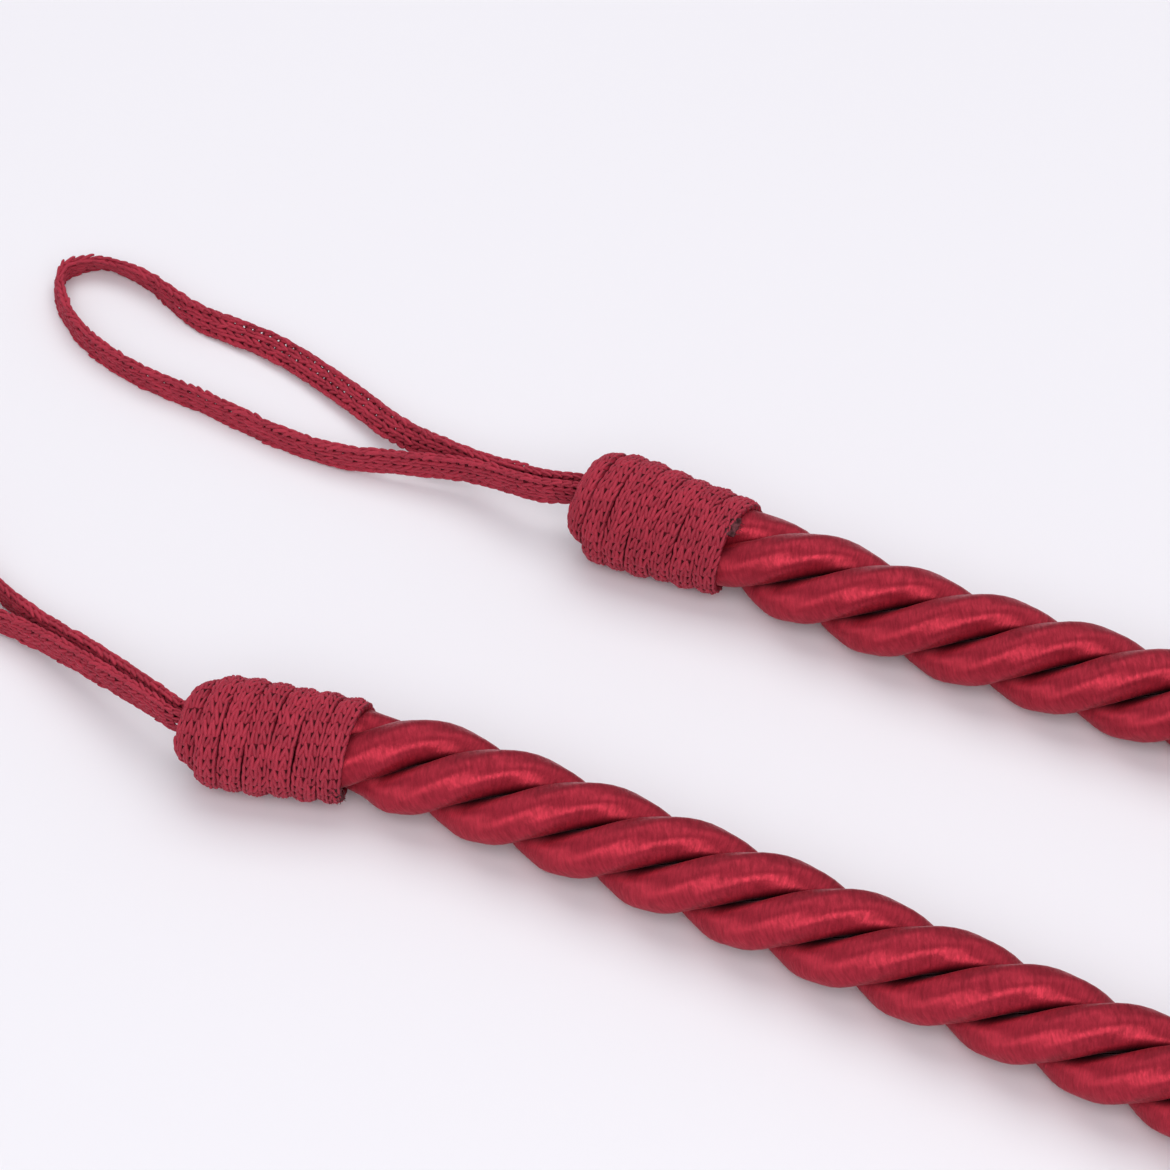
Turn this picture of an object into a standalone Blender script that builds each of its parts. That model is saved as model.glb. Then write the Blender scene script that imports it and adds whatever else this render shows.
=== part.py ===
"""Curtain tieback: a three-strand rope, doubled over, with a whipping and a hanging loop at each end.

All sizes are in metres, +Z is up and the surface that it lies on is z = 0. The two legs of the rope run
along X, with the hanging loops at -X and the rope's bend at +X.
"""

import math

import bmesh
import bpy
import numpy as np
from mathutils import Matrix, Vector

# Rope: three satin strands laid together.
ROPE_RADIUS = 0.0060
ROPE_LAY = 0.0327
STRANDS = 3
STRAND_CENTRE = 0.551
STRAND_DEPTH = 0.449
STRAND_HALF_WIDTH = 0.566
GROOVE_FLOOR = 0.56
FIRST_STRAND_ANGLE = math.radians(83)
RINGS_PER_TURN = 12
SECTION_ANGLES = (-60, -46, -24, 0, 24, 46)

# Rope under its whipping, where the cord binds it tight.
BOUND_RADIUS = 0.0046
SWELL_START = 0.0005
SWELL_LENGTH = 0.0045

# Whipping: flat knitted cord wound round the rope's end.
WHIP_LENGTH = 0.0222
WHIP_TURNS = 7
WHIP_RADIUS_LOOP_END = 0.00655
WHIP_RADIUS_ROPE_END = 0.00615
WHIP_SEAM_DEPTH = 0.00022
WHIP_CREST = (0.25, 0.75)
WHIP_CHAMFER = 0.0022
WHIP_END_WALL = 0.0020
WHIP_BORE_RADIUS = 0.0049
WHIP_SIDES = 28
WHIP_AXIS_POINTS = 20

# Hanging loop: the same flat cord, standing on its edge.
CORD_WIDTH = 0.0035
CORD_THICKNESS = 0.0013
LOOP_STEP = 0.0030
EXIT_RISE = 0.0015
EXIT_HOLE_RADIUS = 0.0026
EXIT_HOLE_DEPTH = 0.0040
EXIT_HOLE_SIDES = 16
LEG_SPREAD = 0.0008
LEG_DEPTH = 0.0022
NIPPED_SCALE = 0.82
NIPPED_LENGTH = 0.0100

# Slab that shaves the whippings flat where they touch the surface.
SLAB_THICKNESS = 0.0040
SLAB_SPAN = 0.5000

# Colour and roughness of the two materials.
SATIN_LOOK = ((0.30, 0.012, 0.030), 0.38)
KNIT_LOOK = ((0.33, 0.020, 0.045), 0.85)

FIT_GAP = 0.0003
WELD_DISTANCE = 0.00001
SHARP_EDGE_ANGLE = math.radians(50)
POINTS_PER_SPAN = 24
MM = 0.001

# Moves the layout below so that the origin is under the middle of the part's box.
LAYOUT_SHIFT = Vector((-0.00093, 0.00027, 0.0))

# Axis of the rope: x, y, z in millimetres, from the near end's whipping round the bend to the far end's.
ROPE_ROUTE = (
    (-85.6, -33.1, 6.2),
    (-78.5, -31.1, 6.2),
    (-71.3, -29.1, 6.2),
    (-64.2, -27.1, 6.1),
    (-56.0, -25.9, 5.9),
    (-42.5, -25.6, 5.8),
    (-27.5, -25.8, 5.8),
    (2.5, -26.8, 5.8),
    (31.5, -28.0, 5.8),
    (65.0, -30.0, 5.8),
    (98.7, -31.5, 5.8),
    (130.2, -29.5, 5.8),
    (153.2, -19.5, 5.8),
    (163.7, -1.8, 5.8),
    (154.2, 16.2, 5.8),
    (132.2, 26.4, 5.8),
    (99.7, 28.0, 5.8),
    (55.0, 26.0, 5.8),
    (11.2, 23.4, 5.8),
    (-19.3, 22.2, 5.8),
    (-31.5, 22.6, 5.9),
    (-39.7, 22.9, 6.1),
    (-47.1, 22.7, 6.2),
    (-54.5, 22.4, 6.2),
    (-61.9, 22.1, 6.2),
)

# Middle of each loop's cord: x, y, z in millimetres, out along one leg, round the tip and back.
# make_loop adds the ends of its two legs, which go into the whipping.
NEAR_LOOP_ROUTE = (
    (-91.0, -32.2, 7.0),
    (-101.7, -28.9, 5.0),
    (-112.2, -26.1, 3.0),
    (-122.0, -24.9, 1.75),
    (-134.0, -24.4, 1.75),
    (-146.0, -23.8, 1.75),
    (-158.0, -20.6, 1.75),
    (-165.6, -14.6, 1.75),
    (-166.2, -8.4, 1.75),
    (-160.0, -5.2, 1.75),
    (-148.0, -7.2, 1.75),
    (-136.0, -12.2, 1.75),
    (-122.0, -19.6, 1.75),
    (-112.0, -23.8, 3.0),
    (-101.7, -27.0, 5.0),
    (-91.0, -30.6, 7.0),
)
FAR_LOOP_ROUTE = (
    (-67.0, 20.4, 7.0),
    (-77.0, 21.5, 4.8),
    (-86.6, 20.3, 3.1),
    (-93.8, 18.8, 2.2),
    (-101.8, 18.6, 1.75),
    (-115.3, 19.9, 1.75),
    (-125.3, 20.5, 1.75),
    (-135.2, 23.4, 1.75),
    (-141.8, 28.2, 1.75),
    (-144.7, 33.0, 1.75),
    (-141.6, 36.9, 1.75),
    (-134.6, 37.0, 1.75),
    (-124.5, 33.7, 1.75),
    (-112.4, 33.0, 1.75),
    (-99.4, 29.2, 2.2),
    (-89.1, 25.2, 3.1),
    (-77.0, 23.1, 4.8),
    (-67.0, 22.0, 7.0),
)


def clear_scene():
    for old in list(bpy.data.objects):
        bpy.data.objects.remove(old, do_unlink=True)


def new_collection(name):
    made = bpy.data.collections.new(name)
    bpy.context.scene.collection.children.link(made)
    return made


def make_material(name, colour, roughness):
    material = bpy.data.materials.new(name)
    material.use_nodes = True
    shader = material.node_tree.nodes["Principled BSDF"]
    shader.inputs["Base Color"].default_value = (*colour, 1.0)
    shader.inputs["Roughness"].default_value = roughness
    shader.inputs["Metallic"].default_value = 0.0
    return material


def spline_points(route):
    """Points along a centripetal Catmull-Rom curve through a route in millimetres."""
    knots = np.array(route, float) * MM + np.array(LAYOUT_SHIFT)
    knots = np.vstack([2 * knots[0] - knots[1], knots, 2 * knots[-1] - knots[-2]])
    curve = []
    for p0, p1, p2, p3 in zip(knots, knots[1:], knots[2:], knots[3:]):
        t1 = np.linalg.norm(p1 - p0) ** 0.5
        t2 = t1 + np.linalg.norm(p2 - p1) ** 0.5
        t3 = t2 + np.linalg.norm(p3 - p2) ** 0.5
        for t in np.linspace(t1, t2, POINTS_PER_SPAN, endpoint=False):
            a1 = p0 + (p1 - p0) * t / t1
            a2 = p1 + (p2 - p1) * (t - t1) / (t2 - t1)
            a3 = p2 + (p3 - p2) * (t - t2) / (t3 - t2)
            b1 = a1 + (a2 - a1) * t / t2
            b2 = a2 + (a3 - a2) * (t - t1) / (t3 - t1)
            curve.append(b1 + (b2 - b1) * (t - t1) / (t2 - t1))
    curve.append(knots[-2])
    return np.array(curve)


def distances(points):
    """Distance of each point from the first, along the line."""
    return np.concatenate([[0.0], np.cumsum(np.linalg.norm(np.diff(points, axis=0), axis=1))])


def resampled(points, start, end, count):
    """Evenly spaced points of a line between two distances along it."""
    along = distances(points)
    wanted = np.linspace(start, end, count)
    return np.column_stack([np.interp(wanted, along, points[:, k]) for k in range(3)]), wanted


def smooth_step(x):
    x = min(max(x, 0.0), 1.0)
    return x * x * (3 - 2 * x)


def strand_outline(offset):
    """Radius of the rope's outline, as a share of the rope's, at an angle from a strand's middle."""
    along, across = math.cos(offset), math.sin(offset)
    a = (along / STRAND_DEPTH) ** 2 + (across / STRAND_HALF_WIDTH) ** 2
    b = -2 * along * STRAND_CENTRE / STRAND_DEPTH**2
    c = (STRAND_CENTRE / STRAND_DEPTH) ** 2 - 1
    inside = max(b * b - 4 * a * c, 0.0)
    return max((-b + math.sqrt(inside)) / (2 * a), GROOVE_FLOOR)


def rope_section(collection):
    """The rope's three-lobed section, a closed flat curve of radius ROPE_RADIUS."""
    data = bpy.data.curves.new("rope_section", "CURVE")
    data.dimensions = "2D"
    spline = data.splines.new("POLY")
    spline.points.add(STRANDS * len(SECTION_ANGLES) - 1)
    corner = iter(spline.points)
    for strand in range(STRANDS):
        for degrees in SECTION_ANGLES:
            angle = 2 * math.pi * strand / STRANDS + math.radians(degrees)
            radius = ROPE_RADIUS * strand_outline(math.radians(degrees))
            next(corner).co = (radius * math.cos(angle), radius * math.sin(angle), 0.0, 1.0)
    spline.use_cyclic_u = True
    section = bpy.data.objects.new("rope_section", data)
    section.hide_render = True
    section.display_type = "WIRE"
    collection.objects.link(section)
    return section


def mesh_from_curve(curve_object, collection):
    """The evaluated curve as a welded mesh object under the same name."""
    evaluated = curve_object.evaluated_get(bpy.context.evaluated_depsgraph_get())
    mesh = bpy.data.meshes.new_from_object(evaluated)
    built = bmesh.new()
    built.from_mesh(mesh)
    bmesh.ops.remove_doubles(built, verts=built.verts, dist=WELD_DISTANCE)
    bmesh.ops.recalc_face_normals(built, faces=built.faces)
    built.to_mesh(mesh)
    built.free()
    name, placed = curve_object.name, curve_object.matrix_world.copy()
    bpy.data.objects.remove(curve_object, do_unlink=True)
    made = bpy.data.objects.new(name, mesh)
    made.matrix_world = placed
    mesh.name = name
    collection.objects.link(made)
    return made


def rest_on_surface(made):
    """Flattens the underside where the piece touches the surface."""
    for vertex in made.data.vertices:
        vertex.co.z = max(vertex.co.z, 0.0)


def finish_piece(made, material):
    made.data.materials.clear()
    made.data.materials.append(material)
    made.data.shade_smooth()
    made.data.set_sharp_from_angle(angle=SHARP_EDGE_ANGLE)


def rope_radius_at(distance, length):
    """The rope's radius: bound tight under each whipping, then full."""
    from_whip = min(distance, length - distance) - WHIP_LENGTH - SWELL_START
    return BOUND_RADIUS + (ROPE_RADIUS - BOUND_RADIUS) * smooth_step(from_whip / SWELL_LENGTH)


def make_rope(axis_points, section, collection, material):
    """The whole rope as one solid: the lobed section swept and twisted along its axis."""
    length = distances(axis_points)[-1]
    inset = WHIP_END_WALL + 2 * FIT_GAP
    rings = int((length - 2 * inset) / ROPE_LAY * RINGS_PER_TURN)
    points, along = resampled(axis_points, inset, length - inset, rings)
    data = bpy.data.curves.new("rope", "CURVE")
    data.dimensions = "3D"
    data.twist_mode = "Z_UP"
    data.bevel_mode = "OBJECT"
    data.bevel_object = section
    data.use_fill_caps = True
    data.render_resolution_u = 0
    spline = data.splines.new("POLY")
    spline.points.add(rings - 1)
    for corner, point, distance in zip(spline.points, points, along):
        corner.co = (*point, 1.0)
        corner.tilt = FIRST_STRAND_ANGLE - 2 * math.pi * distance / ROPE_LAY
        corner.radius = rope_radius_at(distance, length) / ROPE_RADIUS
    curve = bpy.data.objects.new("rope", data)
    collection.objects.link(curve)
    rope = mesh_from_curve(curve, collection)
    rest_on_surface(rope)
    finish_piece(rope, material)
    return rope


def whip_profile():
    """Half section of a whipping: radius and height, from the loop end over the outside and back."""
    profile = [(0.0, 0.0), (WHIP_RADIUS_LOOP_END - WHIP_CHAMFER, 0.0)]
    turn = (WHIP_LENGTH - WHIP_CHAMFER) / WHIP_TURNS
    for k in range(WHIP_TURNS):
        low = WHIP_CHAMFER + k * turn
        share = (k + 0.5) / WHIP_TURNS
        crest = WHIP_RADIUS_LOOP_END + (WHIP_RADIUS_ROPE_END - WHIP_RADIUS_LOOP_END) * share
        profile.append((crest - WHIP_SEAM_DEPTH, low))
        profile += [(crest, low + share_of_turn * turn) for share_of_turn in WHIP_CREST]
    profile.append((WHIP_RADIUS_ROPE_END - WHIP_SEAM_DEPTH, WHIP_LENGTH))
    profile.append((WHIP_BORE_RADIUS, WHIP_LENGTH))
    profile.append((WHIP_BORE_RADIUS, WHIP_END_WALL))
    profile.append((0.0, WHIP_END_WALL))
    return profile


def frame_at(point, direction):
    """Placing of a piece whose own +Z runs along direction and whose +Y leans up."""
    forward = Vector(direction).normalized()
    side = Vector((0.0, 0.0, 1.0)).cross(forward).normalized()
    up = forward.cross(side)
    placed = Matrix((side, up, forward)).transposed().to_4x4()
    placed.translation = Vector(point)
    return placed


def add_cut(target, cutter):
    cut = target.modifiers.new(cutter.name, "BOOLEAN")
    cut.operation = "DIFFERENCE"
    cut.object = cutter


def as_cutter(made, name, cutters):
    made.name = name
    made.hide_render = True
    made.display_type = "WIRE"
    for owner in list(made.users_collection):
        owner.objects.unlink(made)
    cutters.objects.link(made)
    return made


def make_surface_cutter(cutters):
    """A slab under the surface, which shaves a flat where a round piece touches."""
    bpy.ops.mesh.primitive_cube_add(size=1.0, location=(0.0, 0.0, -SLAB_THICKNESS / 2))
    slab = bpy.context.object
    slab.scale = (SLAB_SPAN, SLAB_SPAN, SLAB_THICKNESS)
    return as_cutter(slab, "surface_slab", cutters)


def make_whipping(name, placed, surface, collection, cutters, material):
    """A sleeve of wound cord, with a bore for the rope and a hole where the loop's legs come out."""
    mesh = bpy.data.meshes.new(name)
    corners = [(radius, 0.0, height) for radius, height in whip_profile()]
    mesh.from_pydata(corners, [(k, k + 1) for k in range(len(corners) - 1)], [])
    whipping = bpy.data.objects.new(name, mesh)
    whipping.matrix_world = placed
    collection.objects.link(whipping)
    turned = whipping.modifiers.new("turned", "SCREW")
    turned.axis = "Z"
    turned.steps = turned.render_steps = WHIP_SIDES
    turned.use_merge_vertices = True
    turned.merge_threshold = WELD_DISTANCE
    turned.use_normal_calculate = True
    bpy.ops.mesh.primitive_cylinder_add(
        vertices=EXIT_HOLE_SIDES, radius=EXIT_HOLE_RADIUS, depth=2 * EXIT_HOLE_DEPTH, end_fill_type="NGON"
    )
    hole = as_cutter(bpy.context.object, name + "_exit_hole", cutters)
    hole.matrix_world = placed @ Matrix.Translation((0.0, EXIT_RISE, 0.0))
    add_cut(whipping, hole)
    add_cut(whipping, surface)
    mesh.materials.append(material)
    mesh.shade_smooth()
    return whipping


def make_loop(name, placed, route, collection, material):
    """One length of flat cord: out of the whipping, round the hook's place and back in."""
    ends = []
    for side in (-1, 1):
        for depth in (LEG_DEPTH, 0.0):
            point = placed @ Vector((side * LEG_SPREAD, EXIT_RISE, depth))
            ends.append(tuple((point - LAYOUT_SHIFT) / MM))
    line = spline_points((ends[0], ends[1], *route, ends[3], ends[2]))
    length = distances(line)[-1]
    count = int(length / LOOP_STEP)
    points, along = resampled(line, 0.0, length, count)
    data = bpy.data.curves.new(name, "CURVE")
    data.dimensions = "3D"
    data.twist_mode = "Z_UP"
    data.extrude = (CORD_WIDTH - CORD_THICKNESS) / 2
    data.bevel_depth = CORD_THICKNESS / 2
    data.bevel_resolution = 1
    data.use_fill_caps = True
    data.render_resolution_u = 0
    spline = data.splines.new("POLY")
    spline.points.add(count - 1)
    for corner, point, distance in zip(spline.points, points, along):
        from_end = min(distance, length - distance) - LEG_DEPTH
        corner.co = (*point, 1.0)
        corner.radius = NIPPED_SCALE + (1 - NIPPED_SCALE) * smooth_step(from_end / NIPPED_LENGTH)
    curve = bpy.data.objects.new(name, data)
    collection.objects.link(curve)
    loop = mesh_from_curve(curve, collection)
    rest_on_surface(loop)
    finish_piece(loop, material)
    return loop


def build():
    clear_scene()
    parts = new_collection("curtain_tieback")
    cutters = new_collection("cutters")
    satin = make_material("satin_rope", *SATIN_LOOK)
    knit = make_material("knitted_cord", *KNIT_LOOK)

    axis_points = spline_points(ROPE_ROUTE)
    make_rope(axis_points, rope_section(cutters), parts, satin)

    surface = make_surface_cutter(cutters)
    ends = (
        ("near", axis_points, NEAR_LOOP_ROUTE),
        ("far", axis_points[::-1], FAR_LOOP_ROUTE),
    )
    for end, inward, route in ends:
        placed = frame_at(inward[0], inward[WHIP_AXIS_POINTS] - inward[0])
        make_whipping("whipping_" + end, placed, surface, parts, cutters, knit)
        make_loop("loop_" + end, placed, route, parts, knit)


build()
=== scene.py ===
"""Curtain tieback: a satin rope doubled over, with a whipping and a hanging loop at each end."""

import math
from functools import partial

import bmesh
import bpy
import numpy as np
from bpy.props import FloatProperty, FloatVectorProperty, IntProperty, PointerProperty
from mathutils import Matrix, Vector


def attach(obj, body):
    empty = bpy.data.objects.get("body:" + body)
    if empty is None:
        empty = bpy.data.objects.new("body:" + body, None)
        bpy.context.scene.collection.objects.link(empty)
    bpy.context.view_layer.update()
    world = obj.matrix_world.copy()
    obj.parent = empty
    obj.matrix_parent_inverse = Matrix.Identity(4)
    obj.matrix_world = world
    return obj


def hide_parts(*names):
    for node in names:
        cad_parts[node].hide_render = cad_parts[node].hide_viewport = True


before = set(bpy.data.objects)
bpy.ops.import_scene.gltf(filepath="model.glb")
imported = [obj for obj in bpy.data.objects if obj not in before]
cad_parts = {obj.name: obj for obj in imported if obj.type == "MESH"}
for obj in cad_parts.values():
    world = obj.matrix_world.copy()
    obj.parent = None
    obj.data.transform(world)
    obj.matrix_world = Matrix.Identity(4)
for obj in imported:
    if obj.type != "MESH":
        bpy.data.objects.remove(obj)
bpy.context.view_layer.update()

bl_info = {
    "name": "Rope curtain tieback",
    "version": (1, 0, 0),
    "blender": (4, 5, 0),
    "location": "View3D > Sidebar > Tieback",
    "description": "Builds a satin rope tieback with knitted whippings and hanging loops",
    "category": "Add Mesh",
}

# Axis of the rope, in metres, from the near end's whipping round the bend to the far end's.
ROPE_ROUTE = (
    (-0.08653, -0.03283, 0.00620), (-0.07943, -0.03083, 0.00620), (-0.07223, -0.02883, 0.00620),
    (-0.06513, -0.02683, 0.00610), (-0.05693, -0.02563, 0.00590), (-0.04343, -0.02533, 0.00580),
    (-0.02843, -0.02553, 0.00580), (0.00157, -0.02653, 0.00580), (0.03057, -0.02773, 0.00580),
    (0.06407, -0.02973, 0.00580), (0.09777, -0.03123, 0.00580), (0.12927, -0.02923, 0.00580),
    (0.15227, -0.01923, 0.00580), (0.16277, -0.00153, 0.00580), (0.15327, 0.01647, 0.00580),
    (0.13127, 0.02667, 0.00580), (0.09877, 0.02827, 0.00580), (0.05407, 0.02627, 0.00580),
    (0.01027, 0.02367, 0.00580), (-0.02023, 0.02247, 0.00580), (-0.03243, 0.02287, 0.00590),
    (-0.04063, 0.02317, 0.00610), (-0.04803, 0.02297, 0.00620), (-0.05543, 0.02267, 0.00620),
    (-0.06283, 0.02237, 0.00620),
)
# Middle of each loop's cord, in metres, out along one leg, round the tip and back.
NEAR_LOOP_ROUTE = (
    (-0.09193, -0.03193, 0.00700), (-0.10263, -0.02863, 0.00500), (-0.11313, -0.02583, 0.00300),
    (-0.12293, -0.02463, 0.00175), (-0.13493, -0.02413, 0.00175), (-0.14693, -0.02353, 0.00175),
    (-0.15893, -0.02033, 0.00175), (-0.16653, -0.01433, 0.00175), (-0.16713, -0.00813, 0.00175),
    (-0.16093, -0.00493, 0.00175), (-0.14893, -0.00693, 0.00175), (-0.13693, -0.01193, 0.00175),
    (-0.12293, -0.01933, 0.00175), (-0.11293, -0.02353, 0.00300), (-0.10263, -0.02673, 0.00500),
    (-0.09193, -0.03033, 0.00700),
)
FAR_LOOP_ROUTE = (
    (-0.06793, 0.02067, 0.00700), (-0.07793, 0.02177, 0.00480), (-0.08753, 0.02057, 0.00310),
    (-0.09473, 0.01907, 0.00220), (-0.10273, 0.01887, 0.00175), (-0.11623, 0.02017, 0.00175),
    (-0.12623, 0.02077, 0.00175), (-0.13613, 0.02367, 0.00175), (-0.14273, 0.02847, 0.00175),
    (-0.14563, 0.03327, 0.00175), (-0.14253, 0.03717, 0.00175), (-0.13553, 0.03727, 0.00175),
    (-0.12543, 0.03397, 0.00175), (-0.11333, 0.03327, 0.00175), (-0.10033, 0.02947, 0.00220),
    (-0.09003, 0.02547, 0.00310), (-0.07793, 0.02337, 0.00480), (-0.06793, 0.02227, 0.00700),
)

# The whippings' turns, from the loop end to the rope end: height along the rope and outside
# radius, in metres.
NEAR_WHIP_PROFILE = (
    (-0.0006, 0.0036), (0.0010, 0.0047), (0.0024, 0.0053), (0.0038, 0.0064),
    (0.0056, 0.0067), (0.0085, 0.0067), (0.0140, 0.00645), (0.0222, 0.00615),
)
FAR_WHIP_PROFILE = (
    (-0.0006, 0.0042), (0.0012, 0.0056), (0.0030, 0.0067), (0.0052, 0.0071),
    (0.0085, 0.0070), (0.0140, 0.00655), (0.0222, 0.00615),
)

# Lines are sampled this finely, in points for each span of a route or turn, and in metres.
POINTS_PER_SPAN = 24
POINTS_PER_TURN = 72
ROPE_STEP = 0.0010
LOOP_STEP = 0.0010

# Whippings: the rope's points that give their direction, and their length in metres.
WHIP_AXIS_POINTS = 20
WHIP_LENGTH = 0.0222

# Rope: hidden length at each end, share of its girth inside the whippings, how it swells out of
# them, and the size of its lumps.
HIDDEN_END = 0.0026
BOUND_SHARE = 0.77
SWELL_START = 0.0005
SWELL_LENGTH = 0.0045
LUMP_SCALE = 90.0

# Winding: where it starts and stops, how it wavers, and how its start is tucked into the end.
WOUND_START = 0.0002
WOUND_END = 0.00155
WOUND_WAVER = 0.00008
WAVES_ALONG = 15.1
WAVES_OUTWARD = 9.7
TUCKED_SHARE = 0.55
TUCKED_DEPTH = 0.0034
TUCKED_TURN = 0.45
CORD_HALF_THICKNESS = 0.00055
PROFILE_SAMPLES = 200
PROFILE_SMOOTHINGS = 40

# Loops: how their legs leave the whippings, and how the cord is nipped there.
EXIT_RISE = 0.0015
LEG_SPREAD = 0.0008
LEG_DEPTH = 0.0022
NIPPED_SCALE = 0.82
NIPPED_LENGTH = 0.0100
# How far the flat cord is rolled over, in degrees, by its share of the way round.
LOOP_ROLL = {
    "near": ((0.00, 0.0), (1.00, 0.0)),
    "far": (
        (0.00, 0.0), (0.44, 0.0), (0.50, 12.0), (0.535, 35.0),
        (0.60, 0.0), (0.68, -50.0), (0.80, -50.0), (0.90, 0.0),
        (1.00, 0.0),
    ),
}

# One leg of a stitch: across in stitch widths, along in stitch lengths and up in yarn radii,
# with the yarn's swell at each point. The yarn is slightly flattened.
STITCH_LEG = (
    (0.11, -0.66, -0.95, 0.75),
    (0.17, -0.48, -0.30, 0.98),
    (0.22, -0.22, 0.02, 1.04),
    (0.29, 0.06, 0.08, 0.98),
    (0.36, 0.34, -0.05, 0.92),
    (0.40, 0.58, -0.45, 0.84),
    (0.40, 0.72, -1.00, 0.70),
)
YARN_SIDES = 6
YARN_WIDE, YARN_TALL = 0.98, 0.92
# Unevenness of the stitches: tilt in radians, and smallest and largest size.
STITCH_TILT = (0.16, 0.16, 0.20)
STITCH_SIZES = (0.90, 1.14)
# Outer and inner edge of the cord's section, as shares of its half thickness.
LOOP_EDGES = (0.35, -0.35)
WOUND_EDGES = (0.30, -0.95)

# Sealed ends of the cord: whipping, height along the rope and distance from its axis in metres,
# and first and last angle in degrees. Then the shape of the tab, and of a loose fibre.
SEALED_ENDS = (
    ("near", 0.0197, 0.0057, 210.0, 180.0),
    ("far", 0.0207, 0.0057, 122.0, 99.0),
)
SEALED_POINTS = 17
SEALED_SIDES = 32
SEALED_TIP = 0.25
SEALED_ROUNDING = (0.06, 0.88)
SEALED_LUMP_SCALE = 1500.0
FIBRE_RADIUS = 0.000030
FIBRE_BEND, FIBRE_TIP = (0.25, 0.1, 0.6), (0.8, 0.3, 0.75)
FIBRE_TILT = (0.5, 0.5, 3.1)
FIBRE_LENGTHS = (0.5, 1.2)

# Area lights, aimed at the origin: setting, place, size, colour, and whether the light shows in
# matt and in glossy surfaces.
LIGHTS = (
    ("back_light", (-0.20, 0.75, 2.00), (2.2, 1.8), (1.0, 1.02, 1.01), True, True),
    ("front_light", (0.43, -0.75, 0.78), (1.3, 0.70), (1.0, 0.97, 0.96), False, True),
    ("fill_light", (0.5, -0.9, 1.2), (1.6, 1.2), (1.0, 0.99, 1.0), True, False),
)
ROOM_COLOUR = (0.985, 0.965, 1.04, 1.0)
FLOOR_REACH = 3.0
SENSOR_WIDTH = 36.0
CLIP_START, CLIP_END = 0.01, 20.0

# Painted shade, darkening the colour in the grooves between strands, at the seams between turns
# and in the creases between the lining's courses: where it starts and ends, and the strength of
# the colour there. It is counted in radians from the outer side of a strand, stitches from the
# cord's middle, and a rib's height.
PAINTED_GROOVE_SHADE = (1.45, 2.15, 1.0, 0.12)
PAINTED_SEAM_SHADE = (1.38, 1.58, 1.0, 0.35)
PAINTED_RIB_SHADE = (0.0, 0.5, 0.3, 1.0)
# Hole in a stitch: its place along the stitch, how uneven its edge is, and its reach. The hole is
# a dark dot of painted shade on the lining, and on the loops it is also cut through.
HOLE_PLACE = 0.74
HOLE_UNEVENNESS = 0.4
HOLE_REACH = 0.75

# The first seed of each kind of piece.
WOUND_SEED, LOOP_SEED, SEALED_SEED = 1, 5, 11

UPWARD = (0.0, 0.0, 1.0)
TURN = 2 * math.pi


def spline_points(route):
    """Points along a centripetal Catmull-Rom curve through a route."""
    knots = np.array(route, float)
    knots = np.vstack([2 * knots[0] - knots[1], knots, 2 * knots[-1] - knots[-2]])
    curve = []
    for p0, p1, p2, p3 in zip(knots, knots[1:], knots[2:], knots[3:]):
        t1 = np.linalg.norm(p1 - p0) ** 0.5
        t2 = t1 + np.linalg.norm(p2 - p1) ** 0.5
        t3 = t2 + np.linalg.norm(p3 - p2) ** 0.5
        for t in np.linspace(t1, t2, POINTS_PER_SPAN, endpoint=False):
            a1 = p0 + (p1 - p0) * t / t1
            a2 = p1 + (p2 - p1) * (t - t1) / (t2 - t1)
            a3 = p2 + (p3 - p2) * (t - t2) / (t3 - t2)
            b1 = a1 + (a2 - a1) * t / t2
            b2 = a2 + (a3 - a2) * (t - t1) / (t3 - t1)
            curve.append(b1 + (b2 - b1) * (t - t1) / (t2 - t1))
    curve.append(knots[-2])
    return np.array(curve)


def distances(points):
    """Distance of each point from the first, along the line."""
    return np.concatenate([[0.0], np.cumsum(np.linalg.norm(np.diff(points, axis=0), axis=1))])


def resampled(points, start, end, step):
    """Evenly spaced points of a line between two distances along it, and those distances."""
    along = distances(points)
    wanted = np.linspace(start, end, max(2, round((end - start) / step) + 1))
    return np.column_stack([np.interp(wanted, along, points[:, k]) for k in range(3)]), wanted


def unit(vectors):
    return vectors / np.linalg.norm(vectors, axis=1)[:, None]


def directions(points):
    """Unit direction of travel at each point."""
    return unit(np.gradient(points, axis=0))


def smooth_step(x):
    x = np.clip(x, 0.0, 1.0)
    return x * x * (3 - 2 * x)


def frame_at(point, direction):
    """Placing of a whipping: its own +Z runs into the rope and its +Y leans up."""
    forward = Vector(direction).normalized()
    side = Vector(UPWARD).cross(forward).normalized()
    up = forward.cross(side)
    placed = Matrix((side, up, forward)).transposed().to_4x4()
    placed.translation = Vector(point)
    return placed


def whipping_places():
    """Placing of the near and the far whipping."""
    line = spline_points(ROPE_ROUTE)
    places = {}
    for end, inward in (("near", line), ("far", line[::-1])):
        places[end] = frame_at(inward[0], inward[WHIP_AXIS_POINTS] - inward[0])
    return places


def on_whipping(placed, angle, radius, height):
    """Point at an angle round a whipping's axis, and the way out to it in the whipping's frame."""
    spoke = Vector((math.cos(angle), math.sin(angle), 0.0))
    return placed @ (spoke * radius + Vector((0.0, 0.0, height))), spoke


def linked(name, data):
    """A new object of the scene."""
    made = bpy.data.objects.new(name, data)
    bpy.context.scene.collection.objects.link(made)
    return made


def add_values(mesh, label, values):
    """Stores a number or a vector on each point of a mesh."""
    values = np.asarray(values, np.float32)
    kind, field = ("FLOAT_VECTOR", "vector") if values.ndim == 2 else ("FLOAT", "value")
    mesh.attributes.new(label, kind, "POINT").data.foreach_set(field, values.ravel())


def chain_mesh(name, points, **attributes):
    """A mesh of one chain of edges that carries values for a node tree."""
    mesh = bpy.data.meshes.new(name)
    edges = [(k, k + 1) for k in range(len(points) - 1)]
    mesh.from_pydata([tuple(p) for p in points], edges, [])
    for label, values in attributes.items():
        add_values(mesh, label, values)
    return mesh


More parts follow.
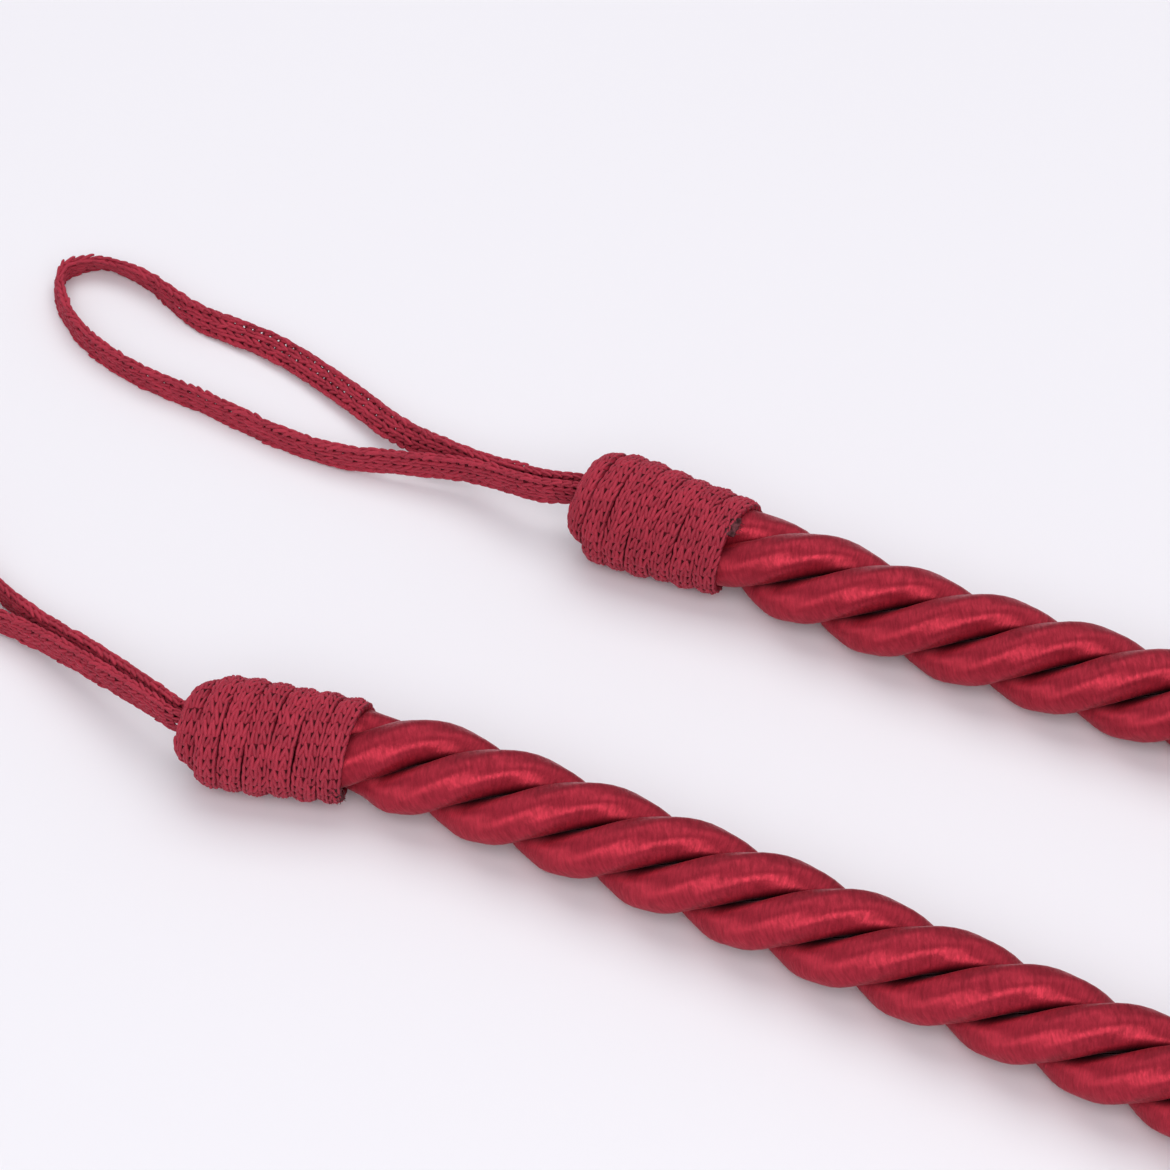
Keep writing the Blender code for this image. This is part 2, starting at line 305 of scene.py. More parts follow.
def grown(line, tree, name, values):
    """Runs a node tree on a line with the given inputs, and makes the result a plain object."""
    source = linked(line.name, line)
    modifier = source.modifiers.new(tree.name, "NODES")
    modifier.node_group = tree
    sockets = {s.name: s.identifier for s in tree.interface.items_tree if s.in_out == "INPUT"}
    for label, value in values.items():
        modifier[sockets[label]] = value
    bpy.context.view_layer.update()
    evaluated = source.evaluated_get(bpy.context.evaluated_depsgraph_get())
    mesh = bpy.data.meshes.new_from_object(evaluated)
    source.modifiers.remove(modifier)
    bpy.data.objects.remove(source, do_unlink=True)
    if not mesh.polygons:
        raise RuntimeError(name + ": the node tree made no faces")
    mesh.name = name
    return linked(name, mesh)


# Helpers for node trees. Each adds a node, and most return its output.


def new_tree(name, kind, inputs, outputs):
    """A node group with its sockets, as (name, kind of socket, default) rows."""
    tree = bpy.data.node_groups.new(name, kind)
    for side, rows in (("INPUT", inputs), ("OUTPUT", outputs)):
        for label, socket, default in rows:
            made = tree.interface.new_socket(
                name=label, in_out=side, socket_type="NodeSocket" + socket
            )
            if default is not None:
                made.default_value = default
    given, result = tree.nodes.new("NodeGroupInput"), tree.nodes.new("NodeGroupOutput")
    return tree, given.outputs, result.inputs


def geometry_tree(name, *inputs):
    geometry = ("Geometry", "Geometry", None)
    return new_tree(name, "GeometryNodeTree", (geometry, *inputs), (geometry,))


def fill(tree, node, inputs):
    """Sets or links a node's inputs."""
    for socket, value in inputs.items():
        if isinstance(value, bpy.types.NodeSocket):
            tree.links.new(value, node.inputs[socket])
        else:
            node.inputs[socket].default_value = value


def add_node(tree, kind, inputs=None, **settings):
    """The outputs of a new node, with its settings made and its inputs filled."""
    node = tree.nodes.new(kind)
    for key, value in settings.items():
        setattr(node, key, value)
    fill(tree, node, inputs or {})
    return node.outputs


def node_out(tree, kind, inputs=None, output=0, **settings):
    return add_node(tree, kind, inputs, **settings)[output]


def shape_out(tree, kind, *inputs, **settings):
    return node_out(tree, "GeometryNode" + kind, *inputs, **settings)


def math_out(tree, operation, *values):
    return node_out(tree, "ShaderNodeMath", dict(enumerate(values)), operation=operation)


def times(tree, one, other):
    return math_out(tree, "MULTIPLY", one, other)


def vector_out(tree, operation, *values):
    output = "Value" if operation in ("DOT_PRODUCT", "LENGTH") else "Vector"
    inputs = dict(enumerate(values))
    return node_out(tree, "ShaderNodeVectorMath", inputs, output, operation=operation)


def scaled_out(tree, vector, factor):
    inputs = {0: vector, "Scale": factor}
    return node_out(tree, "ShaderNodeVectorMath", inputs, operation="SCALE")


def combined(tree, x, y, z):
    return node_out(tree, "ShaderNodeCombineXYZ", {"X": x, "Y": y, "Z": z})


def separated(tree, vector):
    return add_node(tree, "ShaderNodeSeparateXYZ", {"Vector": vector})


def noise_out(tree, **inputs):
    """Noise with its inputs by name, in four dimensions where W is given."""
    dimensions = "4D" if "W" in inputs else "3D"
    return node_out(tree, "ShaderNodeTexNoise", inputs, noise_dimensions=dimensions)


def mapped_out(tree, value, start, end, low, high, blend="LINEAR"):
    """A value carried from one range to another."""
    inputs = {"Value": value, "From Min": start, "From Max": end, "To Min": low, "To Max": high}
    return node_out(tree, "ShaderNodeMapRange", inputs, interpolation_type=blend)


def random_out(tree, low, high, seed):
    """A random number, or a random vector where the limits are vectors."""
    if isinstance(low, tuple):
        inputs, output, kind = {0: low, 1: high}, 0, "FLOAT_VECTOR"
    else:
        inputs, output, kind = {2: low, 3: high}, 1, "FLOAT"
    inputs["Seed"] = seed
    return node_out(tree, "FunctionNodeRandomValue", inputs, output, data_type=kind)


def tilted(tree, rotation, most, seed):
    """A rotation turned at random, by up to the given angles either way."""
    tilt = random_out(tree, tuple(-angle for angle in most), most, seed)
    inputs = {"Rotation": rotation, "Rotate By": tilt}
    return node_out(tree, "FunctionNodeRotateRotation", inputs, rotation_space="LOCAL")


def named(tree, name, kind="FLOAT"):
    return shape_out(tree, "InputNamedAttribute", {"Name": name}, data_type=kind)


def named_vector(tree, name):
    return named(tree, name, "FLOAT_VECTOR")


def store(tree, geometry, name, value, kind="FLOAT", domain="POINT"):
    inputs = {"Geometry": geometry, "Name": name, "Value": value}
    settings = {"data_type": kind, "domain": domain}
    return shape_out(tree, "StoreNamedAttribute", inputs, **settings)


def object_geometry(tree, source):
    return shape_out(tree, "ObjectInfo", {"Object": source}, "Geometry")


def as_curve(tree, mesh):
    return shape_out(tree, "MeshToCurve", {"Mesh": mesh})


def square_to(tree, outward, travel):
    """A direction with its part along the line's travel taken out."""
    leaning = scaled_out(tree, travel, vector_out(tree, "DOT_PRODUCT", outward, travel))
    return vector_out(tree, "NORMALIZE", vector_out(tree, "SUBTRACT", outward, leaning))


def aimed(tree, line, normal, radius):
    """A line with the normal and radius that its section follows."""
    line = shape_out(tree, "SetCurveNormal", {"Curve": line, "Normal": normal}, mode="FREE")
    return shape_out(tree, "SetCurveRadius", {"Curve": line, "Radius": radius})


def ring_out(tree, sides, radius):
    return shape_out(tree, "CurvePrimitiveCircle", {"Resolution": sides, "Radius": radius})


def swept(tree, line, section, caps=True):
    """The skin that a section leaves along a line."""
    inputs = {"Curve": line, "Profile Curve": section, "Fill Caps": caps}
    return shape_out(tree, "CurveToMesh", inputs)


def moved(tree, geometry, offset):
    return shape_out(tree, "SetPosition", {"Geometry": geometry, "Offset": offset})


def smoothed(tree, mesh):
    return shape_out(tree, "SetShadeSmooth", {"Geometry": mesh, "Shade Smooth": True})


def placed_on(tree, points, shape, turn, size):
    """A copy of a shape on each point."""
    inputs = {"Points": points, "Instance": shape, "Rotation": turn, "Scale": size}
    return shape_out(tree, "InstanceOnPoints", inputs)


def dressed(tree, geometry, material):
    """Realizes copies, lifts what would dip below the floor up to it and sets the material."""
    geometry = shape_out(tree, "RealizeInstances", {"Geometry": geometry})
    place = separated(tree, shape_out(tree, "InputPosition"))
    height = math_out(tree, "MAXIMUM", place["Z"], 0.0)
    lifted = combined(tree, place["X"], place["Y"], height)
    geometry = shape_out(tree, "SetPosition", {"Geometry": geometry, "Position": lifted})
    return shape_out(tree, "SetMaterial", {"Geometry": geometry, "Material": material})


def joined(tree, *parts):
    join = tree.nodes.new("GeometryNodeJoinGeometry")
    for part in parts:
        tree.links.new(part, join.inputs["Geometry"])
    return join.outputs["Geometry"]


def laid_strands_tree():
    """Lays strands round a line: each is a flattened round bar that twists with the lay."""
    tree, sent, result = geometry_tree(
        "laid_strands",
        ("Strands", "Int", 3),
        ("Lay", "Float", 0.03),
        ("First Angle", "Float", 0.0),
        ("Rope Radius", "Float", 0.006),
        ("Strand Centre", "Float", 0.55),
        ("Strand Depth", "Float", 0.45),
        ("Strand Half Width", "Float", 0.56),
        ("Sides", "Int", 40),
        ("Unevenness", "Float", 0.03),
        ("Ridges", "Float", 6.0),
        ("Ridge Height", "Float", 0.00006),
        ("Ridge Turn", "Float", 1.5),
        ("Material", "Material", None),
    )
    along, girth = named(tree, "along"), named(tree, "girth")
    travel = shape_out(tree, "InputTangent")
    copies = add_node(
        tree,
        "GeometryNodeDuplicateElements",
        {"Geometry": as_curve(tree, sent["Geometry"]), "Amount": sent["Strands"]},
        domain="SPLINE",
    )
    number = copies["Duplicate Index"]
    share = math_out(tree, "DIVIDE", number, sent["Strands"])
    turns = math_out(tree, "SUBTRACT", share, math_out(tree, "DIVIDE", along, sent["Lay"]))
    angle = math_out(tree, "MULTIPLY_ADD", turns, TURN, sent["First Angle"])
    side = vector_out(tree, "NORMALIZE", vector_out(tree, "CROSS_PRODUCT", UPWARD, travel))
    up = vector_out(tree, "CROSS_PRODUCT", travel, side)
    outward = vector_out(
        tree,
        "ADD",
        scaled_out(tree, side, math_out(tree, "COSINE", angle)),
        scaled_out(tree, up, math_out(tree, "SINE", angle)),
    )
    strands = store(tree, copies["Geometry"], "outward", outward, "FLOAT_VECTOR")
    strands = store(tree, strands, "strand", number)
    outward = named_vector(tree, "outward")
    reach = times(tree, times(tree, girth, sent["Rope Radius"]), sent["Strand Centre"])
    strands = moved(tree, strands, scaled_out(tree, outward, reach))
    strands = store(tree, strands, "run", travel, "FLOAT_VECTOR")
    lumps = noise_out(tree, Scale=LUMP_SCALE, Detail=1.0)
    swing = math_out(tree, "MULTIPLY_ADD", lumps, 2.0, -1.0)
    uneven = math_out(tree, "MULTIPLY_ADD", swing, sent["Unevenness"], 1.0)
    uneven = times(tree, girth, uneven)
    strands = aimed(tree, strands, square_to(tree, outward, travel), uneven)

    turned = shape_out(tree, "SplineParameter")
    ring = ring_out(tree, sent["Sides"], 1.0)
    ring = store(tree, ring, "around", times(tree, turned, TURN))
    across = times(tree, sent["Strand Half Width"], sent["Rope Radius"])
    depth = times(tree, sent["Strand Depth"], sent["Rope Radius"])
    size = combined(tree, depth, across, 1.0)
    inputs = {"Geometry": ring, "Rotation": (0.0, 0.0, math.pi), "Scale": size}
    bars = swept(tree, strands, shape_out(tree, "Transform", inputs))

    turned = math_out(tree, "DIVIDE", along, sent["Ridge Turn"])
    turned = math_out(tree, "MULTIPLY_ADD", turned, TURN, named(tree, "around"))
    ridge = math_out(tree, "COSINE", times(tree, turned, sent["Ridges"]))
    ridge = times(tree, ridge, sent["Ridge Height"])
    raised = scaled_out(tree, shape_out(tree, "InputNormal"), ridge)
    bars = smoothed(tree, moved(tree, bars, raised))
    tree.links.new(dressed(tree, bars, sent["Material"]), result["Geometry"])
    return tree


def knit_stitch_object(name, wale, course, yarn):
    """One stitch: two legs that lean apart as they rise. +Y is the way the cord runs."""
    built = bmesh.new()
    for mirror in (-1, 1):
        spine = np.array([(mirror * x * wale, y * course, z * yarn) for x, y, z, _ in STITCH_LEG])
        rings = []
        for centre, along, (*_, swell) in zip(spine, directions(spine), STITCH_LEG):
            across = np.cross(along, UPWARD)
            across /= np.linalg.norm(across)
            rise = np.cross(across, along)
            ring = []
            for k in range(YARN_SIDES):
                angle = TURN * k / YARN_SIDES
                offset = across * math.cos(angle) * YARN_WIDE + rise * math.sin(angle) * YARN_TALL
                ring.append(built.verts.new(centre + offset * yarn * swell))
            rings.append(ring)
        for low, high in zip(rings, rings[1:]):
            for k in range(YARN_SIDES):
                after = (k + 1) % YARN_SIDES
                built.faces.new((low[k], low[after], high[after], high[k]))
        built.faces.new(rings[0][::-1])
        built.faces.new(rings[-1])
    bmesh.ops.recalc_face_normals(built, faces=built.faces)
    mesh = bpy.data.meshes.new(name)
    built.to_mesh(mesh)
    built.free()
    add_values(mesh, "reach", [vertex.co.x / wale for vertex in mesh.vertices])
    mesh.shade_smooth()
    return bpy.data.objects.new(name, mesh)


def cord_section_object(name, wale, thickness, edges):
    """Open section of the cord: three stitches a face and one an edge, climbing a course round."""
    outer_edge, inner_edge = edges
    rows = [(-1.5, outer_edge), (-0.5, 1.0), (0.5, 1.0), (1.5, outer_edge)]
    rows += [(1.5, inner_edge), (0.5, -1.0), (-0.5, -1.0), (-1.5, inner_edge)]
    columns = len(rows)
    # The section opens on the inner face, so its first and last corner are the same place.
    rows = rows[6:] + rows[:7]
    corners = [(share * thickness / 2, row * wale, 0.0) for row, share in rows]
    climbs = [(k - (columns - 1) / 2) / columns for k in range(columns + 1)]
    mesh = chain_mesh(name, corners, row=[row for row, _ in rows], climb=climbs)
    return bpy.data.objects.new(name, mesh)


def knitted_cord_tree():
    """Knits a flat cord along a line: a stitch on each face of a stepped tube, and the tube."""
    tree, sent, result = geometry_tree(
        "knitted_cord",
        ("Course", "Float", 0.00125),
        ("Section", "Object", None),
        ("Stitch", "Object", None),
        ("Outer Side Only", "Bool", False),
        ("Seed", "Int", 1),
        ("Yarn Material", "Material", None),
        ("Lining Material", "Material", None),
    )
    line = as_curve(tree, sent["Geometry"])
    inputs = {"Curve": line, "Length": sent["Course"]}
    line = shape_out(tree, "ResampleCurve", inputs, mode="LENGTH")
    travel = shape_out(tree, "InputTangent")
    outward, girth = named_vector(tree, "outward"), named(tree, "girth")
    line = store(tree, line, "run", travel, "FLOAT_VECTOR")
    line = store(tree, line, "station", shape_out(tree, "InputIndex"))
    line = aimed(tree, line, square_to(tree, outward, travel), girth)
    section = as_curve(tree, object_geometry(tree, sent["Section"]))
    tube = swept(tree, line, section, caps=False)
    run = named_vector(tree, "run")
    climb = times(tree, named(tree, "climb"), sent["Course"])
    tube = moved(tree, tube, scaled_out(tree, run, climb))

    normal = shape_out(tree, "InputNormal")
    faces = store(tree, tube, "facing", normal, "FLOAT_VECTOR", "FACE")
    spots = shape_out(tree, "MeshToPoints", {"Mesh": faces}, mode="FACES")
    facing = named_vector(tree, "facing")
    # A face that leans over 60 degrees from the way out is on the inner side or the edge.
    turned_in = math_out(tree, "LESS_THAN", vector_out(tree, "DOT_PRODUCT", facing, outward), 0.5)
    hidden = times(tree, turned_in, sent["Outer Side Only"])
    inputs = {"Geometry": spots, "Selection": hidden}
    spots = shape_out(tree, "DeleteGeometry", inputs, domain="POINT")
    row = times(tree, named(tree, "row"), sent["Outer Side Only"])
    spots = store(tree, spots, "row", row)
    turn = node_out(
        tree,
        "FunctionNodeAxesToRotation",
        {"Primary Axis": facing, "Secondary Axis": run},
        primary_axis="Z",
        secondary_axis="Y",
    )
    turn = tilted(tree, turn, STITCH_TILT, sent["Seed"])
    size = times(tree, random_out(tree, *STITCH_SIZES, sent["Seed"]), girth)
    stitches = placed_on(tree, spots, object_geometry(tree, sent["Stitch"]), turn, size)
    tone = random_out(tree, 0.0, 1.0, sent["Seed"])
    stitches = store(tree, stitches, "stitch_tone", tone, "FLOAT", "INSTANCE")
    stitches = dressed(tree, stitches, sent["Yarn Material"])
    lining = dressed(tree, tube, sent["Lining Material"])
    tree.links.new(joined(tree, stitches, lining), result["Geometry"])
    return tree


def sealed_end_tree():
    """A short lumpy tab along a line, with loose fibres standing on it."""
    tree, sent, result = geometry_tree(
        "sealed_end",
        ("Width", "Float", 0.0016),
        ("Thickness", "Float", 0.0008),
        ("Lumps", "Float", 0.0013),
        ("Fibre Length", "Float", 0.0005),
        ("Fibre Density", "Float", 5.0e6),
        ("Seed", "Int", 1),
        ("Material", "Material", None),
    )
    line = as_curve(tree, sent["Geometry"])
    line = aimed(tree, line, named_vector(tree, "outward"), named(tree, "girth"))
    size = combined(tree, sent["Thickness"], sent["Width"], 1.0)
    inputs = {"Geometry": ring_out(tree, SEALED_SIDES, 0.5), "Scale": size}
    tab = swept(tree, line, shape_out(tree, "Transform", inputs))
    seed = times(tree, sent["Seed"], 3.7)
    lumps = noise_out(tree, W=seed, Scale=SEALED_LUMP_SCALE, Detail=3.0, Roughness=0.6)
    push = times(tree, math_out(tree, "SUBTRACT", lumps, 0.5), sent["Lumps"])
    raised = scaled_out(tree, shape_out(tree, "InputNormal"), push)
    tab = smoothed(tree, moved(tree, tab, raised))

    inputs = {"Mesh": tab, "Density": sent["Fibre Density"], "Seed": sent["Seed"]}
    roots = add_node(tree, "GeometryNodeDistributePointsOnFaces", inputs)
    bent = scaled_out(tree, FIBRE_BEND, sent["Fibre Length"])
    tip = scaled_out(tree, FIBRE_TIP, sent["Fibre Length"])
    inputs = {"Resolution": 5, "Start": (0.0, 0.0, 0.0), "Middle": bent, "End": tip}
    fibre = shape_out(tree, "CurveQuadraticBezier", inputs)
    fibre = swept(tree, fibre, ring_out(tree, 4, FIBRE_RADIUS))
    turn = tilted(tree, roots["Rotation"], FIBRE_TILT, sent["Seed"])
    length = random_out(tree, *FIBRE_LENGTHS, sent["Seed"])
    fibres = placed_on(tree, roots["Points"], fibre, turn, length)
    parts = [dressed(tree, part, sent["Material"]) for part in (tab, fibres)]
    tree.links.new(joined(tree, *parts), result["Geometry"])
    return tree


# Finishes. The pieces' attributes say where on a strand or a stitch a point is.


def fibre_streaks_group():
    """Threads side by side: a tone and a height that change fast one way and slowly the other."""
    tree, sent, result = new_tree(
        "fibre_streaks",
        "ShaderNodeTree",
        (
            ("Across", "Float", 0.0),
            ("Along", "Vector", None),
            ("Pitch", "Float", 0.0002),
            ("Length Scale", "Float", 1.0),
        ),
        (("Tone", "Float", None), ("Height", "Float", None)),
    )
    steps = math_out(tree, "DIVIDE", sent["Across"], sent["Pitch"])
    slow = separated(tree, scaled_out(tree, sent["Along"], sent["Length Scale"]))
    where = combined(tree, steps, slow["X"], slow["Y"])
    fine = noise_out(tree, Vector=where, Scale=1.0, Detail=2.0, Roughness=0.6)
    broad = noise_out(tree, Vector=where, Scale=0.45, Detail=1.0)
    tree.links.new(fine, result["Height"])
    mixed = math_out(tree, "MULTIPLY_ADD", broad, 0.4, times(tree, fine, 0.6))
    tree.links.new(mixed, result["Tone"])
    return tree


def new_material(name):
    material = bpy.data.materials.new(name)
    material.use_nodes = True
    return material, material.node_tree, material.node_tree.nodes["Principled BSDF"]


def attribute_out(tree, name, output="Fac"):
    settings = {"attribute_name": name, "attribute_type": "GEOMETRY"}
    return node_out(tree, "ShaderNodeAttribute", output=output, **settings)


def object_place(tree):
    return node_out(tree, "ShaderNodeTexCoord", output="Object")


def threads(tree, streaks, across, along, pitch, length_scale):
    """The tone and height of the shared thread pattern."""
    inputs = {"Across": across, "Along": along, "Pitch": pitch, "Length Scale": length_scale}
    return add_node(tree, "ShaderNodeGroup", inputs, node_tree=streaks)


def shade_out(tree, factor, colour, *stops):
    """A colour made darker and lighter through (position, strength) stops."""
    node = tree.nodes.new("ShaderNodeValToRGB")
    fill(tree, node, {"Fac": factor})
    ramp = node.color_ramp
    while len(ramp.elements) < len(stops):
        ramp.elements.new(0.5)
    for element, (position, strength) in zip(ramp.elements, stops):
        element.position = position
        element.color = (*(min(1.0, channel * strength) for channel in colour), 1.0)
    return node.outputs["Color"]


def bump_out(tree, height, strength, distance):
    inputs = {"Strength": strength, "Distance": distance, "Height": height}
    return node_out(tree, "ShaderNodeBump", inputs)


def satin_material(settings, streaks):
    """Satin thread wound across each strand, with painted shade darkening it down in the grooves.
    """
    material, tree, shader = new_material("satin_rope")
    around, strand = attribute_out(tree, "around"), attribute_out(tree, "strand")
    # Each strand reads its own part of the pattern.
    where = combined(tree, math_out(tree, "MULTIPLY_ADD", strand, 7.3, around), strand, 0.0)
    along = attribute_out(tree, "along")
    lines = threads(tree, streaks, along, where, settings.thread_pitch, length_scale=2.6)
    tones = (0.32, 0.78), (0.50, 1.00), (0.68, 1.22)
    colour = shade_out(tree, lines["Tone"], settings.colour, *tones)
    # Painted shade: the colour darkens on each strand's sides, down in the grooves between
    # strands.
    turned_away = math_out(tree, "ABSOLUTE", math_out(tree, "SUBTRACT", around, math.pi))
    painted_groove_shade = mapped_out(tree, turned_away, *PAINTED_GROOVE_SHADE, "SMOOTHSTEP")
    fill(tree, shader, {
        "Base Color": scaled_out(tree, colour, painted_groove_shade),
        "Roughness": mapped_out(tree, lines["Tone"], 0.0, 1.0, 0.72, 0.40),
        "Normal": bump_out(tree, lines["Height"], strength=0.85, distance=0.00008),
        "Tangent": attribute_out(tree, "run", "Vector"),
        "Anisotropic": 0.85,
        "Metallic": 0.65,
        "Specular IOR Level": 0.25,
        "Sheen Weight": 0.06,
        "Sheen Roughness": 0.35,
        "Sheen Tint": (1.0, 0.55, 0.62, 1.0),
    })
    return material


def yarn_material(settings, streaks):
    """Soft, slightly fuzzy yarn of the knitted cord, with painted shade darkening it where two
    turns meet.
    """
    material, tree, shader = new_material("knitted_yarn")
    place = object_place(tree)
    parts = separated(tree, place)
    slanted = math_out(tree, "ADD", parts["Y"], parts["Z"])
    slanted = math_out(tree, "ADD", parts["X"], slanted)
    lines = threads(tree, streaks, slanted, place, pitch=0.00012, length_scale=2500.0)
    tone = times(tree, attribute_out(tree, "stitch_tone"), 0.25)
    tone = math_out(tree, "MULTIPLY_ADD", lines["Tone"], 0.75, tone)
    colour = shade_out(tree, tone, settings.colour, (0.20, 0.75), (0.50, 1.00), (0.80, 1.30))
    # Painted shade: stitches darken towards the cord's edges, where two turns of the whipping
    # meet.
    across = math_out(tree, "ADD", attribute_out(tree, "row"), attribute_out(tree, "reach"))
    across = math_out(tree, "ABSOLUTE", across)
    painted_seam_shade = mapped_out(tree, across, *PAINTED_SEAM_SHADE, "SMOOTHSTEP")
    fill(tree, shader, {
        "Base Color": scaled_out(tree, colour, painted_seam_shade),
        "Roughness": 0.72,
        "Normal": bump_out(tree, lines["Height"], strength=0.5, distance=0.00005),
        "Specular IOR Level": 0.25,
        "Sheen Weight": 0.10,
        "Sheen Roughness": 0.5,
        "Sheen Tint": (1.0, 0.4, 0.5, 1.0),
    })
    return material


def lining_material(settings, name, see_through):
    """The base of the knitted cord between its stitches, with painted shade in the creases between
    its courses and a dark dot of painted shade at the hole in the middle of each stitch.
    """
    material, tree, shader = new_material(name)
    mottle = noise_out(tree, Vector=object_place(tree), Scale=2500.0, Detail=2.0)
    # Rows are counted from the cord's middle, and whole numbers are the middles of stitches.
    row = math_out(tree, "FRACT", math_out(tree, "ADD", attribute_out(tree, "row"), 10.5))
    station = math_out(tree, "FRACT", attribute_out(tree, "station"))
    across = math_out(tree, "SUBTRACT", row, 0.5)
    across = times(tree, across, settings.wale / settings.hole)
    along = math_out(tree, "SUBTRACT", station, HOLE_PLACE)
    along = times(tree, along, settings.course / settings.hole)
    away = vector_out(tree, "LENGTH", combined(tree, across, along, 0.0))
    away = math_out(tree, "MULTIPLY_ADD", mottle, HOLE_UNEVENNESS, away)
    # Painted shade: a dark dot at the hole in each stitch.
    tones = (0.28, 0.12), (0.46, 0.60), (0.90, 0.90)
    colour = shade_out(tree, times(tree, away, 0.4), settings.colour, *tones)
    # Painted shade: the lining darkens in the creases between its courses.
    ribs = math_out(tree, "SINE", times(tree, station, math.pi))
    ribs = math_out(tree, "ABSOLUTE", ribs)
    depth = mapped_out(tree, ribs, *PAINTED_RIB_SHADE)
    relief = math_out(tree, "MULTIPLY_ADD", mottle, 0.3, ribs)
    fill(tree, shader, {
        "Base Color": scaled_out(tree, colour, depth),
        "Roughness": 0.9,
        "Normal": bump_out(tree, relief, strength=0.8, distance=0.0002),
        "Specular IOR Level": 0.1,
    })
    if see_through:
        fill(tree, shader, {"Alpha": math_out(tree, "GREATER_THAN", away, HOLE_REACH)})
    return material


def singed_material(settings):
    """Cord end sealed by heat: hard, grey-brown and uneven."""
    material, tree, shader = new_material("singed_yarn")
    place = object_place(tree)
    mottle = noise_out(tree, Vector=place, Scale=1100.0, Detail=3.0, Roughness=0.65)
    tones = (0.36, 0.15), (0.52, 1.00), (0.68, 1.70)
    fill(tree, shader, {
        "Base Color": shade_out(tree, mottle, settings.singed_colour, *tones),
        "Roughness": 0.75,
        "Normal": bump_out(tree, mottle, strength=0.7, distance=0.0002),
        "Specular IOR Level": 0.15,
    })
    return material


def floor_material(settings):
    """Pale and matt, with a faint unevenness."""
    material, tree, shader = new_material("pale_floor")
    mottle = noise_out(tree, Vector=object_place(tree), Scale=6.0, Detail=1.0)
    tones = (0.2, 0.985), (0.8, 1.0)
    fill(tree, shader, {
        "Base Color": shade_out(tree, mottle, settings.floor_colour, *tones),
        "Roughness": 0.8,
    })
    return material


# Kinds of setting, each with the unit or subtype that fits it.
Length = partial(FloatProperty, unit="LENGTH")
Share = partial(FloatProperty, subtype="FACTOR")
Angle = partial(FloatProperty, subtype="ANGLE")
Colour = partial(FloatVectorProperty, size=3, subtype="COLOR")
Place = partial(FloatVectorProperty, size=3, subtype="XYZ")


class TiebackRopeSettings(bpy.types.PropertyGroup):
    diameter: Length(name="Diameter", description="Thickness of the rope", default=0.0120)
    lay: Length(name="Lay", description="Length of one turn of a strand", default=0.0327)
    first_angle: Angle(
        name="First strand", description="Angle of the first strand", default=math.radians(23)
    )
    strands: IntProperty(
        name="Strands", description="Strands laid together", default=3, min=2, max=4
    )
    strand_centre: Share(
        name="Strand centre", description="Middle of a strand, as a share of the radius",
        default=0.568,
    )
    strand_depth: Share(
        name="Strand depth", description="Half depth of a strand, as a share", default=0.432
    )
    strand_half_width: Share(
        name="Strand half width", description="Half width of a strand, as a share", default=0.462
    )
    thread_pitch: Length(
        name="Thread pitch", description="Spacing of the wound satin threads", default=0.00020
    )
    colour: Colour(name="Colour", description="Colour of the satin", default=(0.39, 0.023, 0.043))


class TiebackCordSettings(bpy.types.PropertyGroup):
    width: Length(name="Width", description="Width of the flat cord", default=0.0035)
    wale: Length(name="Stitch width", description="Width of one stitch", default=0.00104)
    course: Length(name="Stitch length", description="Length of one stitch", default=0.00130)
    wound_squeeze: Share(
        name="Squeeze", description="Width of a wound stitch, as a share", default=0.90
    )
    yarn: Length(name="Yarn", description="Half thickness of the yarn", default=0.00023)
    loop_flatness: Share(
        name="Loop flatness", description="Thickness of the hanging cord, as a share", default=0.90
    )
    hole: Length(name="Hole", description="Width of the hole in a stitch", default=0.00038)
    thickness: Length(
        name="Thickness", description="Thickness between the two faces' stitches", default=0.00100
    )
    turns: FloatProperty(name="Turns", description="Turns of each whipping", default=7.0, min=1.0)
    end_angle: Angle(
        name="End", description="Where the cord of a whipping ends", default=math.radians(-30)
    )
    colour: Colour(name="Colour", description="Colour of the yarn", default=(0.375, 0.0225, 0.046))
    singed_colour: Colour(
        name="Singed colour", description="Colour of the sealed ends", default=(0.10, 0.026, 0.032)
    )


class TiebackStageSettings(bpy.types.PropertyGroup):
    camera_place: Place(
        name="Camera", description="Place of the camera", default=(0.1005, -0.2929, 0.3462)
    )
    camera_target: Place(
        name="Target", description="Point that the camera looks at",
        default=(-0.05843, 0.01467, 0.0),
    )
    focal_length: FloatProperty(
        name="Focal length", description="Lens, in millimetres", default=123.08
    )
    floor_colour: Colour(
        name="Floor", description="Colour of the floor", default=(0.87, 0.855, 0.885)
    )
    back_light: FloatProperty(
        name="Back light", description="Strength of the large light above", default=20.0
    )
    front_light: FloatProperty(
        name="Front light", description="Strength of the strip in front", default=13.0
    )
    fill_light: FloatProperty(
        name="Fill light", description="Strength of the soft light in front", default=13.0
    )
    room_light: FloatProperty(
        name="Room light", description="Strength of the light all round", default=0.44
    )


def finished(piece, slot_name, *nodes):
    """Hands a piece to the frame: its body and the nodes that it stands for. The name of its
    finish is not used.
    """
    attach(piece, "root")
    if nodes:
        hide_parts(*nodes)


class TIEBACK_OT_materials(bpy.types.Operator):
    """Prepare the finishes, the stitch and the cord's section that the pieces share"""

    bl_idname = "tieback.materials"
    bl_label = "Finishes and stitch"

    def execute(self, context):
        settings = context.scene.tieback_cord
        streaks = fibre_streaks_group()
        yarn_material(settings, streaks)
        singed_material(settings)
        for use, squeeze, flatness, edges in (
            ("loop", 1.0, settings.loop_flatness, LOOP_EDGES),
            ("wound", settings.wound_squeeze, 1.0, WOUND_EDGES),
        ):
            wale = settings.wale * squeeze
            lining_material(settings, use + "_base", see_through=use == "loop")
            knit_stitch_object(use + "_stitch", wale, settings.course, settings.yarn)
            cord_section_object(use + "_section", wale, settings.thickness * flatness, edges)
        knitted_cord_tree()
        return {"FINISHED"}


